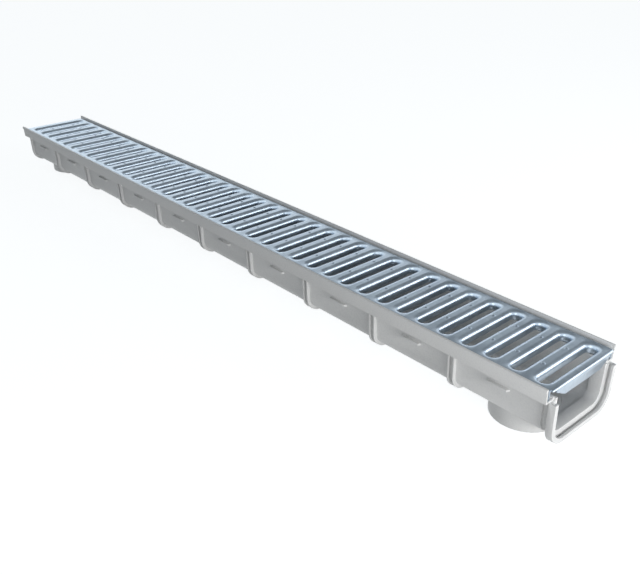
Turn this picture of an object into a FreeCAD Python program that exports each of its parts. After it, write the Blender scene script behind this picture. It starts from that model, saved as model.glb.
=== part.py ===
import FreeCAD, Part
import math
import os

# Channel drain, one metre long: a moulded plastic channel with a pressed steel grating in its rim.
# Millimetres.  While it is built, X runs along the channel from the plain end of the rim, Y goes
# across it from the middle, and Z is height above the top of the rim.  The last step moves the
# origin to the middle of the underside of the whole drain.

Vector = FreeCAD.Vector

# Rim: a gutter down each long side, which holds the grating
rim_length = 1000.0
rim_width = 105.0
rim_wall = 2.4
lip_height = 3.0
lip_overhang = 1.0
lip_rounding = 1.0
skirt_height = 15.0
skirt_draft = 0.7
gutter_floor = 2.0
gutter_room = 5.0

# Trough: the U-shaped channel that carries the water
trough_depth = 55.5
trough_draft = 1.5
trough_wall = 2.5
corner_radius = 15.0

# Twin ribs round the outside of the trough, one pair between each two bays.  The pairs and the
# lugs sit back from the even bays, towards the plain end.
bay_length = 100.0
rib_height = 3.5
rib_thickness = 1.5
rib_spacing = 6.0
rib_setback = 2.0

# Lugs under the skirt, one a side in each bay
lug_length = 25.0
lug_taper = 2.0
lug_thickness = 2.2
lug_reach = 3.5
lug_drop = 11.0

# Joint between two channels: a flange at the plain end drops into a socket at the other end
tongue_setback = 1.6
tongue_thickness = 2.2
tongue_height = 3.0
joint_clearance = 0.4
neck_length = 9.4
neck_step = 2.4
socket_wall = 1.6
socket_bead = 2.4

# Outlets in the floor: an open spigot at the socket end, a closed blank at the plain end
outlet_diameter = 66.0
outlet_wall = 2.5
outlet_length = 15.5
outlet_from_end = 48.0
blank_length = 8.5
blank_from_end = 60.0
blank_membrane = 1.8

# Grating: one pressed sheet with its long sides and its ends turned down
sheet = 1.5
grating_play = 2.0
grating_overhang = 2.0
grating_gap = 2.1
grating_recess = 2.5
bend_radius = 2.2
end_lip_depth = 11.5
end_lip_top = 80.0
end_lip_foot = 53.0

# Slots, each with its edge drawn down all round into a collar
slot_pitch = 26.0
slot_width = 11.0
slot_draw = 4.9
slot_depth = 8.5
slot_side_margin = 0.8
slot_end_margin = 3.0
slot_end_flats = 5
slot_draw_flats = 2
collar_clearance = 0.8

gutter_bottom = -skirt_height
gutter_top = gutter_bottom + gutter_floor
trough_bottom = -trough_depth
rim_half = rim_width / 2
underside = trough_bottom - outlet_length

tongue_start = tongue_setback
socket_floor = rim_length + tongue_setback - joint_clearance / 2
socket_groove = tongue_thickness + joint_clearance
socket_front = socket_floor + socket_groove + socket_bead
socket_back = socket_floor - socket_wall
neck_start = socket_back - neck_length + socket_wall
socket_reach = tongue_height + joint_clearance + socket_wall

grating_top = -grating_recess
upstand_top = grating_top - slot_depth - collar_clearance
grating_half = rim_half - rim_wall - grating_gap
grating_end = rim_length + grating_overhang
grating_start = grating_play + grating_overhang
grating_middle = (grating_start + grating_end) / 2

trough_head = grating_half - sheet - gutter_room
bay_count = max(1, round(rim_length / bay_length))
bay = rim_length / bay_count


def corner_joint(before, corner, after, radius):
    """Start, middle and end of the arc that rounds one corner of an outline."""
    back = (before - corner).normalize()
    ahead = (after - corner).normalize()
    half_angle = back.getAngle(ahead) / 2
    trim = radius / math.tan(half_angle)
    bulge = radius / math.sin(half_angle) - radius
    middle = corner + (back + ahead).normalize() * bulge
    return corner + back * trim, middle, corner + ahead * trim


def outline_face(corners):
    """Flat face in the XY plane inside an outline of (x, y, corner radius)."""
    points = [Vector(x, y, 0) for x, y, _ in corners]
    joints = []
    for i, (point, (_, _, radius)) in enumerate(zip(points, corners)):
        if radius > 0:
            joints.append(corner_joint(points[i - 1], point, points[(i + 1) % len(points)], radius))
        else:
            joints.append((point, None, point))
    edges = []
    for i, (start, middle, end) in enumerate(joints):
        if middle is not None:
            edges.append(Part.Arc(start, middle, end).toShape())
        following = joints[(i + 1) % len(joints)][0]
        edges.append(Part.LineSegment(end, following).toShape())
    return Part.Face(Part.Wire(edges))


def run_along(corners, start, end):
    """Solid whose (across, up, radius) outline runs along the channel from start to end."""
    solid = outline_face(corners).extrude(Vector(0, 0, end - start))
    solid.Placement = FreeCAD.Placement(
        Vector(start, 0, 0),
        FreeCAD.Rotation(Vector(0, 1, 0), Vector(0, 0, 1), Vector(1, 0, 0), "XYZ"),
    )
    return solid


def run_across(corners, half_width):
    """Solid whose (along, up, radius) outline runs across the channel."""
    solid = outline_face(corners).extrude(Vector(0, 0, 2 * half_width))
    solid.Placement = FreeCAD.Placement(
        Vector(0, half_width, 0), FreeCAD.Rotation(Vector(1, 0, 0), 90)
    )
    return solid


def both_sides(solid):
    return [solid, solid.mirror(Vector(0, 0, 0), Vector(0, 1, 0))]


# ---------------------------------------------------------------- channel


def trough_half(height):
    """Half the outer width of the trough at a height: its sides lean in towards the floor."""
    fall = (gutter_bottom - height) / (gutter_bottom - trough_bottom)
    return trough_head - trough_draft * fall


def trough_outline(grow, top):
    """U section, as the outside of the trough offset by grow, closed at the top."""
    foot = trough_half(trough_bottom) + grow
    head = trough_half(top) + grow
    floor = trough_bottom - grow
    radius = corner_radius + grow
    return [(head, top, 0), (-head, top, 0), (-foot, floor, radius), (foot, floor, radius)]


def u_band(outside, inside, start, end, top):
    """U-shaped band between two offsets of the trough's outside."""
    core_top = top + trough_depth
    core = run_along(trough_outline(inside, core_top), start - 1, end + 1)
    return run_along(trough_outline(outside, top), start, end).cut(core)


def trough():
    shoulder = neck_start - trough_wall
    return [
        u_band(0, -trough_wall, tongue_start, shoulder, upstand_top),
        u_band(0, -trough_wall - neck_step, shoulder, neck_start, gutter_top),
        u_band(-neck_step, -trough_wall - neck_step, neck_start, socket_floor, gutter_top),
    ]


def rim_rail():
    """One side of the rim: lip, skirt and the floor of the gutter."""
    skirt_head = rim_half - lip_overhang
    skirt_foot = skirt_head - skirt_draft
    inner_head = rim_half - rim_wall
    inner_foot = inner_head - skirt_draft
    root = trough_half(gutter_bottom) - trough_wall / 2
    return run_along(
        [
            (rim_half, 0, lip_rounding),
            (rim_half, -lip_height, 0),
            (skirt_head, -lip_height, 0),
            (skirt_foot, gutter_bottom, 0),
            (root, gutter_bottom, 0),
            (root, gutter_top, 0),
            (inner_foot, gutter_top, 0),
            (inner_head, 0, 0),
        ],
        0,
        rim_length,
    )


def neck_shelf():
    """Carries the gutter floor and its upstand over the neck, where the trough steps in."""
    outside = trough_half(gutter_bottom)
    inside = outside - neck_step - trough_wall
    root = outside - trough_wall / 2
    head = trough_half(upstand_top)
    start = neck_start - trough_wall
    shelf = [
        (root, gutter_bottom, 0),
        (root, gutter_top, 0),
        (inside, gutter_top, 0),
        (inside, gutter_bottom, 0),
    ]
    wall = [
        (head, upstand_top, 0),
        (outside, gutter_bottom, 0),
        (outside - trough_wall, gutter_bottom, 0),
        (head - trough_wall, upstand_top, 0),
    ]
    return [run_along(shelf, start, rim_length), run_along(wall, start, rim_length)]


def rib_pairs():
    """Two thin ribs close together at the end of every bay but the last."""
    root = -trough_wall / 2
    ribs = []
    for pair in range(1, bay_count):
        for side in (-1, 1):
            middle = pair * bay - rib_setback + side * rib_spacing / 2
            start = middle - rib_thickness / 2
            top = gutter_bottom + gutter_floor / 2
            ribs.append(u_band(rib_height, root, start, start + rib_thickness, top))
    return ribs


def lug(middle):
    """Short bar on the side of the trough, narrower at its outer face."""
    height = gutter_bottom - lug_drop
    root = trough_half(height) - trough_wall / 2
    face = trough_half(height) + lug_reach
    half = lug_length / 2
    plan = [
        (-half, root, 0),
        (half, root, 0),
        (half - lug_taper, face, 0),
        (lug_taper - half, face, 0),
    ]
    bar = outline_face(plan).extrude(Vector(0, 0, lug_thickness))
    bar.translate(Vector(middle, 0, height - lug_thickness / 2))
    return bar


def lugs():
    bars = []
    for i in range(bay_count):
        bars += both_sides(lug((i + 0.5) * bay - rib_setback))
    return bars


def tongue():
    """Flange round the plain end, which drops into the next channel's socket."""
    root = -trough_wall / 2
    return u_band(tongue_height, root, tongue_start, tongue_start + tongue_thickness, gutter_bottom)


def socket():
    """Ring round the far end of the neck, with a groove for the next channel's tongue."""
    groove = tongue_height + joint_clearance
    neck_root = -neck_step - trough_wall / 2
    front_start = socket_front - socket_bead
    return [
        u_band(socket_reach, neck_root, socket_back, socket_floor, gutter_bottom),
        u_band(socket_reach, groove, socket_back, socket_front, gutter_bottom),
        u_band(socket_reach, joint_clearance, front_start, socket_front, gutter_bottom),
    ]


def outlet_stub(middle, length):
    """Round stub under the trough, reaching up to meet its rounded floor."""
    head = trough_bottom + corner_radius
    stub = Part.makeCylinder(outlet_diameter / 2, head - trough_bottom + length)
    stub.translate(Vector(middle, 0, trough_bottom - length))
    reach = outlet_diameter / 2 + 1
    inside = run_along(trough_outline(-trough_wall, gutter_top), middle - reach, middle + reach)
    return stub.cut(inside)


def outlet_bore(middle, bottom):
    bore = Part.makeCylinder(outlet_diameter / 2 - outlet_wall, trough_bottom + corner_radius - bottom)
    bore.translate(Vector(middle, 0, bottom))
    return bore


def channel():
    outlet_x = rim_length - outlet_from_end
    body = trough() + both_sides(rim_rail())
    for piece in neck_shelf():
        body += both_sides(piece)
    body += rib_pairs() + lugs() + [tongue()] + socket()
    body += [outlet_stub(outlet_x, outlet_length), outlet_stub(blank_from_end, blank_length)]
    bores = [
        outlet_bore(outlet_x, underside - 1),
        outlet_bore(blank_from_end, trough_bottom - blank_length + blank_membrane),
    ]
    return body[0].fuse(body[1:]).cut(bores).removeSplitter()


# ---------------------------------------------------------------- grating


def side_section():
    """Section of the sheet: flat top with both long sides bent down."""
    inner = grating_half - sheet
    return [
        (-grating_half, gutter_top, 0),
        (-grating_half, grating_top, bend_radius),
        (grating_half, grating_top, bend_radius),
        (grating_half, gutter_top, 0),
        (inner, gutter_top, 0),
        (inner, grating_top - sheet, 0),
        (-inner, grating_top - sheet, 0),
        (-inner, gutter_top, 0),
    ]


def end_lip():
    """Lip bent down at one end, cut to a trapezium with hollow corners beside the bends."""
    foot = grating_top - end_lip_depth
    inner = grating_end - sheet
    start = grating_end - bend_radius - sheet
    bend = run_across(
        [
            (start, grating_top, 0),
            (grating_end, grating_top, bend_radius),
            (grating_end, foot, 0),
            (inner, foot, 0),
            (inner, grating_top - sheet, 0),
            (start, grating_top - sheet, 0),
        ],
        grating_half,
    )
    corner = grating_half - bend_radius
    half_top = end_lip_top / 2
    half_foot = end_lip_foot / 2
    blank = run_along(
        [
            (-corner, grating_top + 1, 0),
            (corner, grating_top + 1, 0),
            (corner, grating_top - sheet, 0),
            (half_top, grating_top - sheet, (corner - half_top) / 2),
            (half_foot, foot, 0),
            (-half_foot, foot, 0),
            (-half_top, grating_top - sheet, (corner - half_top) / 2),
            (-corner, grating_top - sheet, 0),
        ],
        start,
        grating_end,
    )
    return bend.common(blank)


def slot_ring(half_width, height):
    """Corners of a slot's round-ended outline, with each end turned in short flats."""
    straight = slot_mouth_half_length() - slot_mouth_half_width()
    corners = []
    for side in (1, -1):
        for flat in range(slot_end_flats + 1):
            angle = math.pi * flat / slot_end_flats
            along = side * half_width * math.cos(angle)
            across = side * (straight + half_width * math.sin(angle))
            corners.append(Vector(along, across, height))
    return corners


def slot_mouth_half_width():
    return slot_width / 2 + slot_draw


def slot_mouth_half_length():
    return grating_half - bend_radius - slot_side_margin


def flat_face(corners):
    return Part.Face(Part.makePolygon(corners + corners[:1]))


def slot_plug(levels):
    """Solid through the levels, each given as (half width, height), from the top down."""
    rings = [slot_ring(half_width, height) for half_width, height in levels]
    faces = [flat_face(rings[0]), flat_face(rings[-1])]
    for upper, lower in zip(rings, rings[1:]):
        for i in range(len(upper)):
            faces.append(flat_face([upper[i - 1], upper[i], lower[i], lower[i - 1]]))
    return Part.Solid(Part.makeShell(faces))


def slot_opening():
    """What is cut away: the rounded edge that is drawn down, then the straight throat."""
    mouth = slot_mouth_half_width()
    levels = [(mouth, grating_top + slot_draw)]
    for flat in range(slot_draw_flats + 1):
        angle = math.pi / 2 * flat / slot_draw_flats
        drop = slot_draw * (1 - math.cos(angle))
        levels.append((mouth - slot_draw * math.sin(angle), grating_top - drop))
    levels.append((slot_width / 2, grating_top - slot_depth - slot_draw))
    return slot_plug(levels)


def slot_collar():
    outside = slot_width / 2 + sheet
    return slot_plug([(outside, grating_top - sheet / 2), (outside, grating_top - slot_depth)])


def slot_places():
    """As many slots as fit, counted back from the one beside the socket end's bend."""
    inset = bend_radius + slot_end_margin + slot_mouth_half_width()
    last = grating_end - inset
    steps = math.floor((last - grating_start - inset) / slot_pitch)
    return [last - i * slot_pitch for i in range(steps + 1)]


def copies(solid, places):
    return [solid.translated(Vector(place, 0, 0)) for place in places]


def grating():
    tray = run_along(side_section(), grating_start + bend_radius, grating_end - bend_radius)
    lip = end_lip()
    other = lip.mirror(Vector(grating_middle, 0, 0), Vector(1, 0, 0))
    places = slot_places()
    blank = tray.fuse([lip, other] + copies(slot_collar(), places))
    return blank.cut(copies(slot_opening(), places)).removeSplitter()


def settle(solid):
    """Moves a finished piece so that the origin is in the middle of the drain's underside."""
    return solid.translated(Vector(-socket_front / 2, 0, -underside))


def main():
    os.makedirs("parts", exist_ok=True)
    for name, build in (("channel", channel), ("grating", grating)):
        solid = settle(build())
        solid.exportStep(f"parts/{name}.step")
        box = solid.BoundBox
        print(
            f"{name}: valid {solid.isValid()}, solids {len(solid.Solids)}, faces {len(solid.Faces)}, "
            f"{solid.Volume / 1000:.1f} cm3, "
            f"{box.XMin:.1f}..{box.XMax:.1f} {box.YMin:.1f}..{box.YMax:.1f} {box.ZMin:.1f}..{box.ZMax:.1f}"
        )


main()
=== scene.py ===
# %% [markdown]
# # A channel drain, dressed for its picture
#
# A channel drain is two things: a long plastic trough, moulded in one piece, and a pressed steel
# grating that lies in its rim.  The construction is already settled in CAD.  This lesson gives the
# two pieces their finish: rounded edges on the moulding, a grating whose slots are drawn down
# smoothly, and materials that read as grey plastic and galvanised steel.
#
# The first cell loads the CAD model as a fixed frame.  Nothing in it is moved: new pieces are
# placed by its boxes.

# %% Load the frame
import math

import bmesh
import bpy
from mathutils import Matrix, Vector


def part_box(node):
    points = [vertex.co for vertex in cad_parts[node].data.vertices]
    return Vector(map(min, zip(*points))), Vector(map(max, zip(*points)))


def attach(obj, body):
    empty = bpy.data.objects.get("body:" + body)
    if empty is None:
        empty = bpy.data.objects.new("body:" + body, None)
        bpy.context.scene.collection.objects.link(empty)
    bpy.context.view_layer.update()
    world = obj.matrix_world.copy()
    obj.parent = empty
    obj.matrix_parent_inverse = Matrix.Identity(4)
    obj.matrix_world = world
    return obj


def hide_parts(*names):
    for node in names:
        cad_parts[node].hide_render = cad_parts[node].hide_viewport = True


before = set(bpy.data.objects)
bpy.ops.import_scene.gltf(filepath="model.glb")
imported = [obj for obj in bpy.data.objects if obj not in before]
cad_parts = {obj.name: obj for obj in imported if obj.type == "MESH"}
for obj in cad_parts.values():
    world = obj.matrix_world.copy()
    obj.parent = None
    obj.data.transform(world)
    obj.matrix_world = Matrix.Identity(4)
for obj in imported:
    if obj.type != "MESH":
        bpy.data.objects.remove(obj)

bpy.context.view_layer.update()

# %% [markdown]
# Blender counts in metres, and a drain is drawn in millimetres, so one short name turns the one
# into the other.  A hair is the distance within which two places count as the same.

# %% Units
MM = 0.001
HAIR = 0.01 * MM

# %% [markdown]
# The camera stands to the right of the socket end and looks down the length of the channel, so
# that the drain runs away from it into the picture's upper left corner.  A position could be typed
# in and turned by hand until it looks right, but it is easier to say where the camera looks, from
# which compass direction, how steeply down and from how far.

# %% Camera
LOOK_AT = Vector((0.1953, -0.0232, 0.0355))
VIEW_AZIMUTH = math.radians(48.24)
VIEW_ELEVATION = math.radians(27.51)
VIEW_DISTANCE = 0.8463
LENS = 43.78
NEAREST_SEEN = 0.01


def add_camera():
    back = Vector((
        math.sin(VIEW_AZIMUTH) * math.cos(VIEW_ELEVATION),
        -math.cos(VIEW_AZIMUTH) * math.cos(VIEW_ELEVATION),
        math.sin(VIEW_ELEVATION),
    ))
    bpy.ops.object.camera_add(location=LOOK_AT + back * VIEW_DISTANCE)
    camera = bpy.context.object
    camera.rotation_mode = "QUATERNION"
    camera.rotation_quaternion = (-back).to_track_quat("-Z", "Y")
    camera.data.lens = LENS
    camera.data.clip_start = NEAREST_SEEN
    bpy.context.scene.camera = camera
    return camera


camera = add_camera()
print("camera at", [round(v, 3) for v in camera.location])

# %% [markdown]
# ## Light
#
# Metal and pale plastic both want soft, wide lights, and here each lamp has one job.  The key
# stands high on the camera's side of the socket end: it draws the small shadows under the rim and
# falls off towards the far end.  The front lamp stands low beyond the socket end, so it shines
# into the open end and brightens every face that looks along the channel.  Two more stand on the
# other side, where each drawn slot edge of the grating mirrors them as a long white line: one for
# the near slots, and one further off for the far ones.

# %% Lamps
SOCKET_END = (0.4, 0.0, 0.04)
NEAR_SLOTS = (0.2, 0.0, 0.06)
FAR_SLOTS = (-0.1, 0.0, 0.06)


def add_softbox(name, place, aim, size, power):
    """A flat rectangular lamp that faces a place on the drain."""
    bpy.ops.object.light_add(type="AREA", location=place)
    lamp = bpy.context.object
    lamp.name = name
    lamp.data.shape = "RECTANGLE"
    lamp.data.size, lamp.data.size_y = size
    lamp.data.energy = power
    direction = Vector(aim) - Vector(place)
    lamp.rotation_euler = direction.to_track_quat("-Z", "Y").to_euler()


add_softbox("key_softbox", (1.0, -0.75, 0.55), SOCKET_END, size=(0.45, 0.45), power=2.0)
add_softbox("front_softbox", (1.45, -0.30, 0.12), SOCKET_END, size=(0.5, 0.25), power=6.3)
add_softbox("near_edge_softbox", (1.05, 0.7, 0.27), NEAR_SLOTS, size=(0.9, 0.35), power=2.4)
add_softbox("far_edge_softbox", (1.7, 1.1, 0.85), FAR_SLOTS, size=(1.0, 0.6), power=5.0)

# %% [markdown]
# A material or a world can answer each kind of ray in its own way.  The Light Path node says what
# kind a ray is, and one helper turns that into a switch for several kinds at once.

# %% A switch by kind of ray
def seen_by(nodes, links, *rays):
    """1 for any of the named kinds of ray, 0 for the others."""
    path = nodes.new("ShaderNodeLightPath")
    seen = path.outputs[rays[0]]
    for ray in rays[1:]:
        either = nodes.new("ShaderNodeMath")
        either.operation = "MAXIMUM"
        links.new(seen, either.inputs[0])
        links.new(path.outputs[ray], either.inputs[1])
        seen = either.outputs[0]
    return seen


# %% [markdown]
# Flat metal shows whatever it mirrors.  So in reflections the world is a pale studio with one dim
# curtain, hung overhead and a little behind the drain: the steel near the socket end mirrors the
# curtain and turns blue grey, and further down the grating it mirrors the pale wall beside it.  A
# backdrop of real planes would do the same, but it would also throw shadows and stand in the way
# of other views.

# %% The studio that the metal mirrors
STUDIO_STRENGTH = 1.75
CURTAIN_STRENGTH = 0.30
CURTAIN_AIM = (0.0, 0.35, 0.94)
CURTAIN_EDGE = (0.54, 0.74)


def studio_strength(nodes, links):
    """How bright the studio is in a direction: dim where the curtain hangs, pale elsewhere."""
    direction = nodes.new("ShaderNodeTexCoord")
    towards = nodes.new("ShaderNodeVectorMath")
    towards.operation = "DOT_PRODUCT"
    towards.inputs[1].default_value = CURTAIN_AIM
    links.new(direction.outputs["Generated"], towards.inputs[0])
    fade = nodes.new("ShaderNodeMapRange")
    fade.interpolation_type = "SMOOTHSTEP"
    fade.inputs["From Min"].default_value = CURTAIN_EDGE[0]
    fade.inputs["From Max"].default_value = CURTAIN_EDGE[1]
    fade.inputs["To Min"].default_value = STUDIO_STRENGTH
    fade.inputs["To Max"].default_value = CURTAIN_STRENGTH
    links.new(towards.outputs["Value"], fade.inputs["Value"])
    return fade.outputs["Result"]


# %% [markdown]
# To the camera the world is plain white, and to the matt plastic it is an even, shadowless light.
# Two mixes put the three answers together.  Cycles would like to aim its own rays at a bright
# world, but this one looks different to every kind of ray, so that habit is turned off.

# %% World
AIR_COLOUR = (0.88, 0.95, 1.0, 1)
AIR_STRENGTH = 0.22
STUDIO_COLOUR = (0.90, 0.96, 1.0, 1)
WHITE = (1, 1, 1, 1)


def add_sky(nodes, colour):
    sky = nodes.new("ShaderNodeBackground")
    sky.inputs["Color"].default_value = colour
    return sky


def switch_sky(nodes, links, seen, usual, instead):
    """Shows one sky instead of the usual one to the rays that the switch is on for."""
    switch = nodes.new("ShaderNodeMixShader")
    links.new(seen, switch.inputs[0])
    links.new(usual.outputs[0], switch.inputs[1])
    links.new(instead.outputs[0], switch.inputs[2])
    return switch


def set_world():
    world = bpy.data.worlds.new("studio")
    bpy.context.scene.world = world
    world.use_nodes = True
    world.cycles.sampling_method = "NONE"
    nodes, links = world.node_tree.nodes, world.node_tree.links
    nodes.clear()
    air = add_sky(nodes, AIR_COLOUR)
    air.inputs["Strength"].default_value = AIR_STRENGTH
    studio = add_sky(nodes, STUDIO_COLOUR)
    links.new(studio_strength(nodes, links), studio.inputs["Strength"])
    backdrop = add_sky(nodes, WHITE)
    mirrored = seen_by(nodes, links, "Is Glossy Ray")
    indirect = switch_sky(nodes, links, mirrored, air, studio)
    direct = seen_by(nodes, links, "Is Camera Ray", "Is Transmission Ray")
    whole = switch_sky(nodes, links, direct, indirect, backdrop)
    output = nodes.new("ShaderNodeOutputWorld")
    links.new(whole.outputs[0], output.inputs["Surface"])


set_world()
bpy.context.scene.view_settings.view_transform = "Standard"
print("world", bpy.context.scene.world.name)

# %% [markdown]
# The floor is a large pale sheet.  It gives back nearly all the light that falls on it, which
# brightens the underside of the drain.  Seen by the camera it is dimmer and glows by itself
# instead, so that it is white from edge to edge and still shows a soft shadow.

# %% Floor
FLOOR_SIZE = 14.0
FLOOR_GAP = 0.2 * MM
FLOOR_TONE = 0.85
FLOOR_TONE_SEEN = 0.4
FLOOR_GLOW = 0.89
FLOOR_TINT = (0.97, 0.99, 1.0, 1)


def floor_paper():
    material = bpy.data.materials.new("floor_paper")
    material.use_nodes = True
    nodes, links = material.node_tree.nodes, material.node_tree.links
    paper = nodes["Principled BSDF"]
    paper.inputs["Roughness"].default_value = 0.9
    paper.inputs["Specular IOR Level"].default_value = 0.0
    tone = nodes.new("ShaderNodeMapRange")
    tone.inputs["To Min"].default_value = FLOOR_TONE
    tone.inputs["To Max"].default_value = FLOOR_TONE_SEEN
    links.new(seen_by(nodes, links, "Is Camera Ray"), tone.inputs["Value"])
    links.new(tone.outputs["Result"], paper.inputs["Base Color"])
    glow = nodes.new("ShaderNodeMath")
    glow.operation = "MULTIPLY"
    glow.inputs[1].default_value = FLOOR_GLOW
    links.new(seen_by(nodes, links, "Is Camera Ray", "Is Glossy Ray"), glow.inputs[0])
    links.new(glow.outputs[0], paper.inputs["Emission Strength"])
    paper.inputs["Emission Color"].default_value = FLOOR_TINT
    return material


bpy.ops.mesh.primitive_plane_add(size=FLOOR_SIZE, location=(0, 0, -FLOOR_GAP))
floor = bpy.context.object
floor.name = "floor"
floor.data.materials.append(floor_paper())
print("floor", FLOOR_SIZE, "m across")

# %% [markdown]
# ## Small tools
#
# An edit-mode operator acts on whatever is selected, so the modelling below leans on a few small
# helpers: one leaves a single object selected, one picks vertices or edges by where they are, one
# pulls edges out into new faces, and one merges what lies double.

# %% Helpers for edit mode
def only(piece):
    """Leaves just this object selected and active."""
    bpy.ops.object.select_all(action="DESELECT")
    piece.select_set(True)
    bpy.context.view_layer.objects.active = piece


def pick(kind, test):
    """In edit mode, selects the vertices or edges for which the test holds."""
    mesh = bpy.context.edit_object.data
    bpy.ops.mesh.select_mode(type=kind)
    bpy.ops.mesh.select_all(action="DESELECT")
    shape = bmesh.from_edit_mesh(mesh)
    for item in shape.verts if kind == "VERT" else shape.edges:
        if test(item):
            item.select_set(True)
    bmesh.update_edit_mesh(mesh)


def near(value, target):
    return abs(value - target) < HAIR


def open_edge_where(test):
    """A test for edges on the border of a sheet, both of whose ends pass."""
    return lambda edge: len(edge.link_faces) < 2 and all(test(v.co) for v in edge.verts)


def pull_edges(step):
    """In edit mode, extrudes the selected edges by one step."""
    bpy.ops.mesh.extrude_edges_move(TRANSFORM_OT_translate={"value": step})


def merge_doubles():
    """In edit mode, merges the vertices that lie in one place."""
    bpy.ops.mesh.select_all(action="SELECT")
    bpy.ops.mesh.remove_doubles(threshold=HAIR)


# %% [markdown]
# Both pieces end in the same way: their modifiers are applied, and their faces are shaded smoothly
# across every edge but the sharp ones.

# %% Helpers for finished pieces
SMOOTH_BELOW = math.radians(35)


def apply_modifiers(piece):
    only(piece)
    for modifier in list(piece.modifiers):
        bpy.ops.object.modifier_apply(modifier=modifier.name)


def round_edges(piece, width, corner):
    """Adds a narrow bevel along every edge that is sharper than a corner angle."""
    edge = piece.modifiers.new("edge", "BEVEL")
    edge.width = width
    edge.segments = 2
    edge.limit_method = "ANGLE"
    edge.angle_limit = corner


def smooth_finish(piece):
    apply_modifiers(piece)
    bpy.ops.object.shade_smooth_by_angle(angle=SMOOTH_BELOW)


def count_triangles(piece):
    return sum(len(face.vertices) - 2 for face in piece.data.polygons)


# %% [markdown]
# ## The grating
#
# The real grating starts as a flat sheet.  A press punches each slot and draws its edge down into
# a smooth collar, then folds the long sides and the ends.  The mesh is made in the same order.
#
# Its sizes come first.  The row of slots is laid out from the fold at the socket end, backwards.
# Each slot gets a block of sheet round its mouth, and the strips between the blocks carry the
# dimples.

# %% Sizes of the grating
grate_low, grate_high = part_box("grating")
sheet = 1.5 * MM
fold_radius = 2.2 * MM
slot_count = 38
slot_pitch = 26.0 * MM
slot_draw = 4.9 * MM
slot_depth = 8.5 * MM
throat_half = 5.5 * MM
slot_side_margin = 0.8 * MM
slot_end_margin = 3.0 * MM
block_border = 0.4 * MM

top = grate_high.z
flat_half = grate_high.y - fold_radius
fold_lines = {-1: grate_low.x + fold_radius, 1: grate_high.x - fold_radius}
mouth_half = throat_half + slot_draw
straight_half = flat_half - slot_side_margin - mouth_half
block_half = mouth_half + block_border
last_slot = fold_lines[1] - slot_end_margin - mouth_half
first_slot = last_slot - (slot_count - 1) * slot_pitch
print("slots from", round(first_slot, 4), "to", round(last_slot, 4))

# %% [markdown]
# The edge of a slot has the same section all the way round: a quarter of a circle, then a short
# straight throat.  That section is spun half a turn round one end of the slot, pulled along the
# straight side, spun round the other end and pulled back.  A boolean cut followed by a bevel could
# give the same form, but the spin keeps clean rows of faces, and a highlight runs along them
# without a flaw.

# %% The drawn edge of one slot
DRAW_CIRCLE = 24
END_STEPS = 12


def add_section():
    """Adds the section of the drawn edge at one end of the slot's straight side."""
    bpy.ops.object.select_all(action="DESELECT")
    bpy.ops.mesh.primitive_circle_add(
        vertices=DRAW_CIRCLE,
        radius=slot_draw,
        location=(mouth_half, straight_half, top - slot_draw),
        rotation=(math.radians(90), 0, 0),
    )
    bpy.ops.object.transform_apply()
    bpy.ops.object.mode_set(mode="EDIT")
    pick("VERT", lambda v: v.co.x > mouth_half + HAIR or v.co.z < top - slot_draw - HAIR)
    bpy.ops.mesh.delete(type="VERT")
    pick("VERT", lambda v: near(v.co.z, top - slot_draw))
    throat = (0, 0, slot_draw - slot_depth)
    bpy.ops.mesh.extrude_vertices_move(TRANSFORM_OT_translate={"value": throat})
    bpy.ops.object.mode_set(mode="OBJECT")
    return bpy.context.object


def run_round_slot():
    """In edit mode, takes the section round both ends and along both sides of the slot."""
    bpy.ops.mesh.select_all(action="SELECT")
    for side in (1, -1):
        centre = (0, side * straight_half, 0)
        bpy.ops.mesh.spin(steps=END_STEPS, angle=math.pi, center=centre, axis=(0, 0, -1))
        pull_edges((0, -side * 2 * straight_half, 0))
    merge_doubles()


slot_block = add_section()
bpy.ops.object.mode_set(mode="EDIT")
run_round_slot()
bpy.ops.object.mode_set(mode="OBJECT")
print("slot edge", len(slot_block.data.polygons), "faces")

# %% [markdown]
# The sheet round the slot is flat, so all it needs is an outline.  A rectangle is added, its face
# is thrown away, and the gap between its edges and the slot's mouth is filled.

# %% The flat sheet round a slot
def add_outline(x_size, y_size):
    """In edit mode, adds four edges round a flat rectangle at the top of the sheet."""
    middle = (0, 0, top)
    bpy.ops.mesh.primitive_plane_add(size=1, location=middle)
    bpy.ops.transform.resize(value=(x_size, y_size, 1), center_override=middle)
    bpy.ops.mesh.delete(type="ONLY_FACE")


def fill_flat():
    """In edit mode, fills the sheet between all the open outlines at its top."""
    pick("EDGE", open_edge_where(lambda co: near(co.z, top)))
    bpy.ops.mesh.fill()


only(slot_block)
bpy.ops.object.mode_set(mode="EDIT")
add_outline(2 * block_half, 2 * flat_half)
fill_flat()
bpy.ops.object.mode_set(mode="OBJECT")
print("slot block", len(slot_block.data.polygons), "faces")

# %% [markdown]
# Between two slots the sheet is a plain strip with two small dimples, pressed down for grip.  Each
# dimple is a circle that is extruded inwards and down twice, and then closed.  Its rings say how
# far out and how deep they lie, as shares of the dimple's radius and depth.

# %% The strip between two slots
dimple_place = 17.5 * MM
dimple_radius = 2.0 * MM
dimple_depth = 0.8 * MM
DIMPLE_SIDES = 12
DIMPLE_RINGS = ((0.7, 0.75), (0.35, 0.95))


def add_dimple(y):
    """In edit mode, adds a round dimple whose rim lies in the top of the sheet."""
    centre = (0, y, top)
    bpy.ops.mesh.primitive_circle_add(
        vertices=DIMPLE_SIDES, radius=dimple_radius, location=centre
    )
    reach, depth = 1.0, 0.0
    for ring_reach, ring_depth in DIMPLE_RINGS:
        pull_edges((0, 0, -(ring_depth - depth) * dimple_depth))
        ratio = ring_reach / reach
        bpy.ops.transform.resize(value=(ratio, ratio, 1), center_override=centre)
        reach, depth = ring_reach, ring_depth
    bpy.ops.mesh.edge_face_add()


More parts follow.
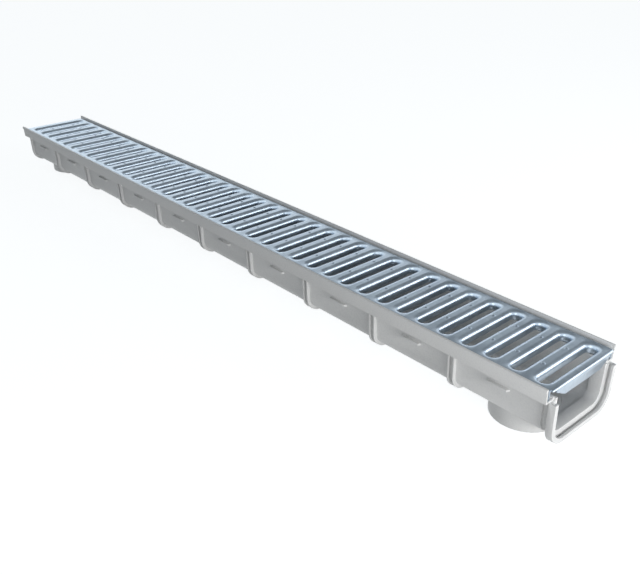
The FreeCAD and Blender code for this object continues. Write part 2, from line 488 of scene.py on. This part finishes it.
def add_empty_mesh():
    """Adds an object with nothing in it, and leaves it in edit mode."""
    bpy.ops.object.select_all(action="DESELECT")
    bpy.ops.mesh.primitive_plane_add(size=MM)
    bpy.ops.object.mode_set(mode="EDIT")
    bpy.ops.mesh.delete(type="VERT")
    return bpy.context.object


strip_block = add_empty_mesh()
for side in (1, -1):
    add_dimple(side * dimple_place)
add_outline(slot_pitch - 2 * block_half, 2 * flat_half)
fill_flat()
bpy.ops.object.mode_set(mode="OBJECT")
print("strip block", len(strip_block.data.polygons), "faces")

# %% [markdown]
# Both blocks are repeated along the grating with an array, then joined and merged into one sheet.

# %% Repeat the blocks
def repeat_along(block, start, count):
    only(block)
    bpy.ops.transform.translate(value=(start, 0, 0))
    bpy.ops.object.transform_apply()
    array = block.modifiers.new("row", "ARRAY")
    array.count = count
    array.use_relative_offset = False
    array.use_constant_offset = True
    array.constant_offset_displace = (slot_pitch, 0, 0)
    apply_modifiers(block)


repeat_along(slot_block, first_slot, slot_count)
repeat_along(strip_block, first_slot + slot_pitch / 2, slot_count - 1)
only(slot_block)
strip_block.select_set(True)
bpy.ops.object.join()
grating = slot_block
grating.name = "grating_sheet"
grating.data.name = "grating_sheet"
bpy.ops.object.mode_set(mode="EDIT")
merge_doubles()
bpy.ops.object.mode_set(mode="OBJECT")
print("pressed sheet", len(grating.data.polygons), "faces")

# %% [markdown]
# Folding comes next.  A fold is an edge spun through a quarter turn about the line that the sheet
# bends round, and then pulled straight down.  The side flanges are plain strips that end a little
# above the foot of the grating.

# %% Fold the long sides
FOLD_STEPS = 6
side_lift = 1.0 * MM
side_drop = grate_high.z - fold_radius - (grate_low.z + side_lift)


def fold(test, centre, axis, drops):
    """In edit mode, folds the open edges that pass the test down, and pulls them out in steps."""
    pick("EDGE", open_edge_where(test))
    bpy.ops.mesh.spin(steps=FOLD_STEPS, angle=math.radians(90), center=centre, axis=axis)
    for drop in drops:
        pull_edges((0, 0, -drop))


def fold_sides():
    for side in (1, -1):
        fold(
            lambda co: near(co.y, side * flat_half) and near(co.z, top),
            (0, side * flat_half, top - fold_radius),
            (side, 0, 0),
            [side_drop],
        )


# %% [markdown]
# The end lips are narrower than the sheet.  Below the fold a round hollow takes them in at each
# corner, which keeps the press from tearing the metal there, and from the hollow they taper to
# their foot.  So a lip is pulled down in rows, and each row is then scaled to the width that the
# lip has at that height.

# %% The width of an end lip
lip_depth = grate_high.z - grate_low.z
lip_half_top = 40.0 * MM
lip_half_foot = 26.5 * MM
relief_radius = (flat_half - lip_half_top) / 2
LIP_ROWS = (3.0 * MM, 3.7 * MM, 4.4 * MM, 6.5 * MM, 9.0 * MM)


def lip_half_width(depth):
    """Half the width of an end lip at a depth below the top of the sheet."""
    if depth < sheet + HAIR:
        return flat_half
    relief_end = sheet + relief_radius
    if depth < relief_end:
        rise = (relief_end - depth) / relief_radius
        return lip_half_top + relief_radius * (1 - math.sqrt(1 - rise * rise))
    share = (depth - relief_end) / (lip_depth - relief_end)
    return lip_half_top + share * (lip_half_foot - lip_half_top)


# %% [markdown]
# The blocks stop a few millimetres short of each fold line.  The sheet is pulled out to the line
# first, then folded, and then its rows are brought to their widths.

# %% Fold the ends
def past_fold(co, side):
    return side * (co.x - fold_lines[side]) > HAIR


def lip_rows(side):
    """The heights of the rows of vertices past a fold line."""
    shape = bmesh.from_edit_mesh(bpy.context.edit_object.data)
    return sorted({round(v.co.z / HAIR) * HAIR for v in shape.verts if past_fold(v.co, side)})


def fold_ends():
    block_ends = {-1: first_slot - block_half, 1: last_slot + block_half}
    depths = [fold_radius, *LIP_ROWS, lip_depth]
    drops = [lower - upper for upper, lower in zip(depths, depths[1:])]
    for side, fold_line in fold_lines.items():
        pick("EDGE", open_edge_where(lambda co: near(co.x, block_ends[side])))
        pull_edges((fold_line - block_ends[side], 0, 0))
        fold(
            lambda co: near(co.x, fold_line),
            (fold_line, 0, top - fold_radius),
            (0, -side, 0),
            drops,
        )
        for row in lip_rows(side):
            pick("VERT", lambda v: past_fold(v.co, side) and near(v.co.z, row))
            share = lip_half_width(top - row) / flat_half
            bpy.ops.transform.resize(value=(1, share, 1), center_override=(0, 0, row))


only(grating)
bpy.ops.object.mode_set(mode="EDIT")
fold_ends()
fold_sides()
merge_doubles()
bpy.ops.mesh.normals_make_consistent(inside=False)
bpy.ops.object.mode_set(mode="OBJECT")
print("folded sheet", len(grating.data.polygons), "faces")

# %% [markdown]
# The sheet is still a surface with no thickness.  Solidify gives it its 1.5 mm downwards, so the
# top stays where it is, and a small bevel takes the razor edge off the cut rims.  Solidify works
# away from the side that the faces point to, so they are made to point up first.

# %% Thickness and edges
sheet_edge = 0.2 * MM
SHEET_CORNER = math.radians(60)
LEVEL = 0.99


def face_up(piece):
    level = [face for face in piece.data.polygons if abs(face.normal.z) > LEVEL]
    if sum(face.normal.z * face.area for face in level) < 0:
        piece.data.flip_normals()


face_up(grating)
wall = grating.modifiers.new("wall", "SOLIDIFY")
wall.thickness = sheet
wall.offset = -1
wall.use_even_offset = True
round_edges(grating, sheet_edge, SHEET_CORNER)
smooth_finish(grating)
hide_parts("grating")
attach(grating, "root")
print("grating", count_triangles(grating), "triangles")

# %% [markdown]
# ## The channel
#
# The moulding already has its true form in CAD, but with razor edges.  No mould gives those, and
# it is the small rounded edge that catches the light.  The CAD mesh itself is left alone: a copy
# of it is merged, its flat faces are made whole again, and a narrow bevel runs round every edge.

# %% Round the edges of the moulding
mould_edge = 0.35 * MM
MOULD_CORNER = math.radians(35)
FLAT_WITHIN = math.radians(0.5)


def copy_of_node(node, name):
    copy = bpy.data.objects.new(name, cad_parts[node].data.copy())
    bpy.context.scene.collection.objects.link(copy)
    return copy


channel_body = copy_of_node("channel", "channel_body")
only(channel_body)
bpy.ops.object.mode_set(mode="EDIT")
merge_doubles()
bpy.ops.mesh.dissolve_limited(angle_limit=FLAT_WITHIN)
bpy.ops.object.mode_set(mode="OBJECT")
round_edges(channel_body, mould_edge, MOULD_CORNER)
smooth_finish(channel_body)
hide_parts("channel")
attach(channel_body, "root")
print("channel", count_triangles(channel_body), "triangles")

# %% [markdown]
# ## Materials
#
# Both finishes need an uneven surface at more than one scale.  A shader node group does that once:
# it takes a size and gives a soft mask from 0 to 1, and each material uses it with its own values.

# %% A shared mask: cloudy unevenness
CLOUD_DETAIL = 4.0
CLOUD_INPUTS = (
    ("Scale", "NodeSocketFloat", 40.0),
    ("Stretch", "NodeSocketVector", (1, 1, 1)),
    ("Low", "NodeSocketFloat", 0.35),
    ("High", "NodeSocketFloat", 0.65),
)


def cloud_group():
    """Soft clouds of one size, stretched along an axis if asked."""
    group = bpy.data.node_groups.new("cloudy_mask", "ShaderNodeTree")
    for socket, kind, value in CLOUD_INPUTS:
        made = group.interface.new_socket(name=socket, in_out="INPUT", socket_type=kind)
        made.default_value = value
    group.interface.new_socket(name="Mask", in_out="OUTPUT", socket_type="NodeSocketFloat")
    nodes, links = group.nodes, group.links
    entry = nodes.new("NodeGroupInput")
    place = nodes.new("ShaderNodeTexCoord")
    shape = nodes.new("ShaderNodeMapping")
    links.new(place.outputs["Object"], shape.inputs["Vector"])
    links.new(entry.outputs["Stretch"], shape.inputs["Scale"])
    noise = nodes.new("ShaderNodeTexNoise")
    noise.inputs["Detail"].default_value = CLOUD_DETAIL
    links.new(shape.outputs["Vector"], noise.inputs["Vector"])
    links.new(entry.outputs["Scale"], noise.inputs["Scale"])
    ramp = nodes.new("ShaderNodeMapRange")
    links.new(noise.outputs["Fac"], ramp.inputs["Value"])
    links.new(entry.outputs["Low"], ramp.inputs["From Min"])
    links.new(entry.outputs["High"], ramp.inputs["From Max"])
    leave = nodes.new("NodeGroupOutput")
    links.new(ramp.outputs["Result"], leave.inputs["Mask"])
    return group


cloudy = cloud_group()
print("shared mask", cloudy.name)

# %% [markdown]
# A few helpers keep the material cells short.  Each adds one or two nodes and gives back the
# socket that carries the result.

# %% Shared helpers for materials
def new_material(name):
    material = bpy.data.materials.new(name)
    material.use_nodes = True
    return material, material.node_tree.nodes, material.node_tree.links


def add_clouds(nodes, scale, stretch=(1, 1, 1), low=0.35, high=0.65):
    clouds = nodes.new("ShaderNodeGroup")
    clouds.node_tree = cloudy
    clouds.inputs["Scale"].default_value = scale
    clouds.inputs["Stretch"].default_value = stretch
    clouds.inputs["Low"].default_value = low
    clouds.inputs["High"].default_value = high
    return clouds.outputs["Mask"]


def feed(links, socket, value):
    """Links a socket to another one, or sets it to a number or a colour."""
    if isinstance(value, bpy.types.NodeSocket):
        links.new(value, socket)
    elif isinstance(value, tuple):
        socket.default_value = (*value, 1)
    else:
        socket.default_value = value


def mix_colours(nodes, links, mask, low, high):
    mix = nodes.new("ShaderNodeMix")
    mix.data_type = "RGBA"
    feed(links, mix.inputs["Factor"], mask)
    low_socket, high_socket = [s for s in mix.inputs if s.type == "RGBA"]
    feed(links, low_socket, low)
    feed(links, high_socket, high)
    return next(s for s in mix.outputs if s.type == "RGBA")


def mix_values(nodes, links, mask, low, high):
    ramp = nodes.new("ShaderNodeMapRange")
    ramp.inputs["To Min"].default_value = low
    ramp.inputs["To Max"].default_value = high
    links.new(mask, ramp.inputs["Value"])
    return ramp.outputs["Result"]


def add_bump(nodes, links, height, strength, distance):
    bump = nodes.new("ShaderNodeBump")
    bump.inputs["Strength"].default_value = strength
    bump.inputs["Distance"].default_value = distance
    links.new(height, bump.inputs["Height"])
    return bump.outputs["Normal"]


# %% [markdown]
# The channel is light grey polypropylene, straight from the mould: satin, a shade warmer here and
# cooler there, with a fine grain from the mould's sparked steel.  A flat grey would look like
# paint; the slow change of tone and gloss is what makes it read as plastic.

# %% Plastic of the channel
PLASTIC_DARKER = (0.66, 0.66, 0.655)
PLASTIC_LIGHTER = (0.71, 0.71, 0.70)
PLASTIC_SPECK = (0.64, 0.64, 0.64)
PLASTIC_IOR = 1.49


def moulded_plastic():
    material, nodes, links = new_material("moulded_grey_plastic")
    plastic = nodes["Principled BSDF"]
    flow = add_clouds(nodes, 9.0, (0.5, 1, 1))
    tone = mix_colours(nodes, links, flow, PLASTIC_DARKER, PLASTIC_LIGHTER)
    speck = add_clouds(nodes, 700.0, low=0.45, high=0.75)
    colour = mix_colours(nodes, links, speck, tone, PLASTIC_SPECK)
    links.new(colour, plastic.inputs["Base Color"])
    gloss = mix_values(nodes, links, flow, 0.38, 0.48)
    links.new(gloss, plastic.inputs["Roughness"])
    grain = add_clouds(nodes, 1400.0, low=0.3, high=0.7)
    rough = add_bump(nodes, links, grain, 0.12, 0.05 * MM)
    links.new(rough, plastic.inputs["Normal"])
    plastic.inputs["IOR"].default_value = PLASTIC_IOR
    return material


plastic = moulded_plastic()
print("plastic", len(plastic.node_tree.nodes), "nodes")

# %% [markdown]
# The grating is hot-dip galvanised.  Zinc sets in crystals a few millimetres across, each turned
# its own way, so neighbouring crystals differ a little in brightness.  A Voronoi texture gives the
# crystals, and clouds blur them, because on a pressed sheet they are faint.

# %% Zinc of the grating
ZINC_DARKER = (0.37, 0.43, 0.50)
ZINC_LIGHTER = (0.46, 0.53, 0.60)
CRYSTAL_DARKER = (0.35, 0.41, 0.48)
CRYSTAL_LIGHTER = (0.50, 0.57, 0.64)
CRYSTAL_SCALE = 260.0
CRYSTAL_SHARE = 0.35
ZINC_METALLIC = 0.9


def add_crystals(nodes, links):
    """A mask with one random value in each crystal."""
    place = nodes.new("ShaderNodeTexCoord")
    crystals = nodes.new("ShaderNodeTexVoronoi")
    crystals.inputs["Scale"].default_value = CRYSTAL_SCALE
    links.new(place.outputs["Object"], crystals.inputs["Vector"])
    split = nodes.new("ShaderNodeSeparateColor")
    links.new(crystals.outputs["Color"], split.inputs["Color"])
    return split.outputs["Red"]


def galvanised_steel():
    material, nodes, links = new_material("galvanised_steel")
    zinc = nodes["Principled BSDF"]
    zinc.inputs["Metallic"].default_value = ZINC_METALLIC
    clouds = add_clouds(nodes, 30.0)
    tone = mix_colours(nodes, links, clouds, ZINC_DARKER, ZINC_LIGHTER)
    spangle = add_crystals(nodes, links)
    crystal = mix_colours(nodes, links, spangle, CRYSTAL_DARKER, CRYSTAL_LIGHTER)
    colour = mix_colours(nodes, links, CRYSTAL_SHARE, tone, crystal)
    links.new(colour, zinc.inputs["Base Color"])
    gloss = mix_values(nodes, links, clouds, 0.30, 0.38)
    links.new(gloss, zinc.inputs["Roughness"])
    ripple = add_clouds(nodes, 55.0, (1, 0.4, 1))
    rough = add_bump(nodes, links, ripple, 0.08, 0.12 * MM)
    links.new(rough, zinc.inputs["Normal"])
    return material


zinc = galvanised_steel()
print("zinc", len(zinc.node_tree.nodes), "nodes")

# %% [markdown]
# Each new piece gets its finish, and so does the CAD node that it stands in for.

# %% Dress the pieces
def dress(piece, material):
    piece.data.materials.clear()
    piece.data.materials.append(material)


dress(channel_body, plastic)
dress(grating, zinc)
dress(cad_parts["channel"], plastic)
dress(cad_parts["grating"], zinc)
print("materials", [m.name for m in bpy.data.materials])

# %% [markdown]
# Last, the view layer is brought up to date.

# %% Finish
bpy.context.view_layer.update()
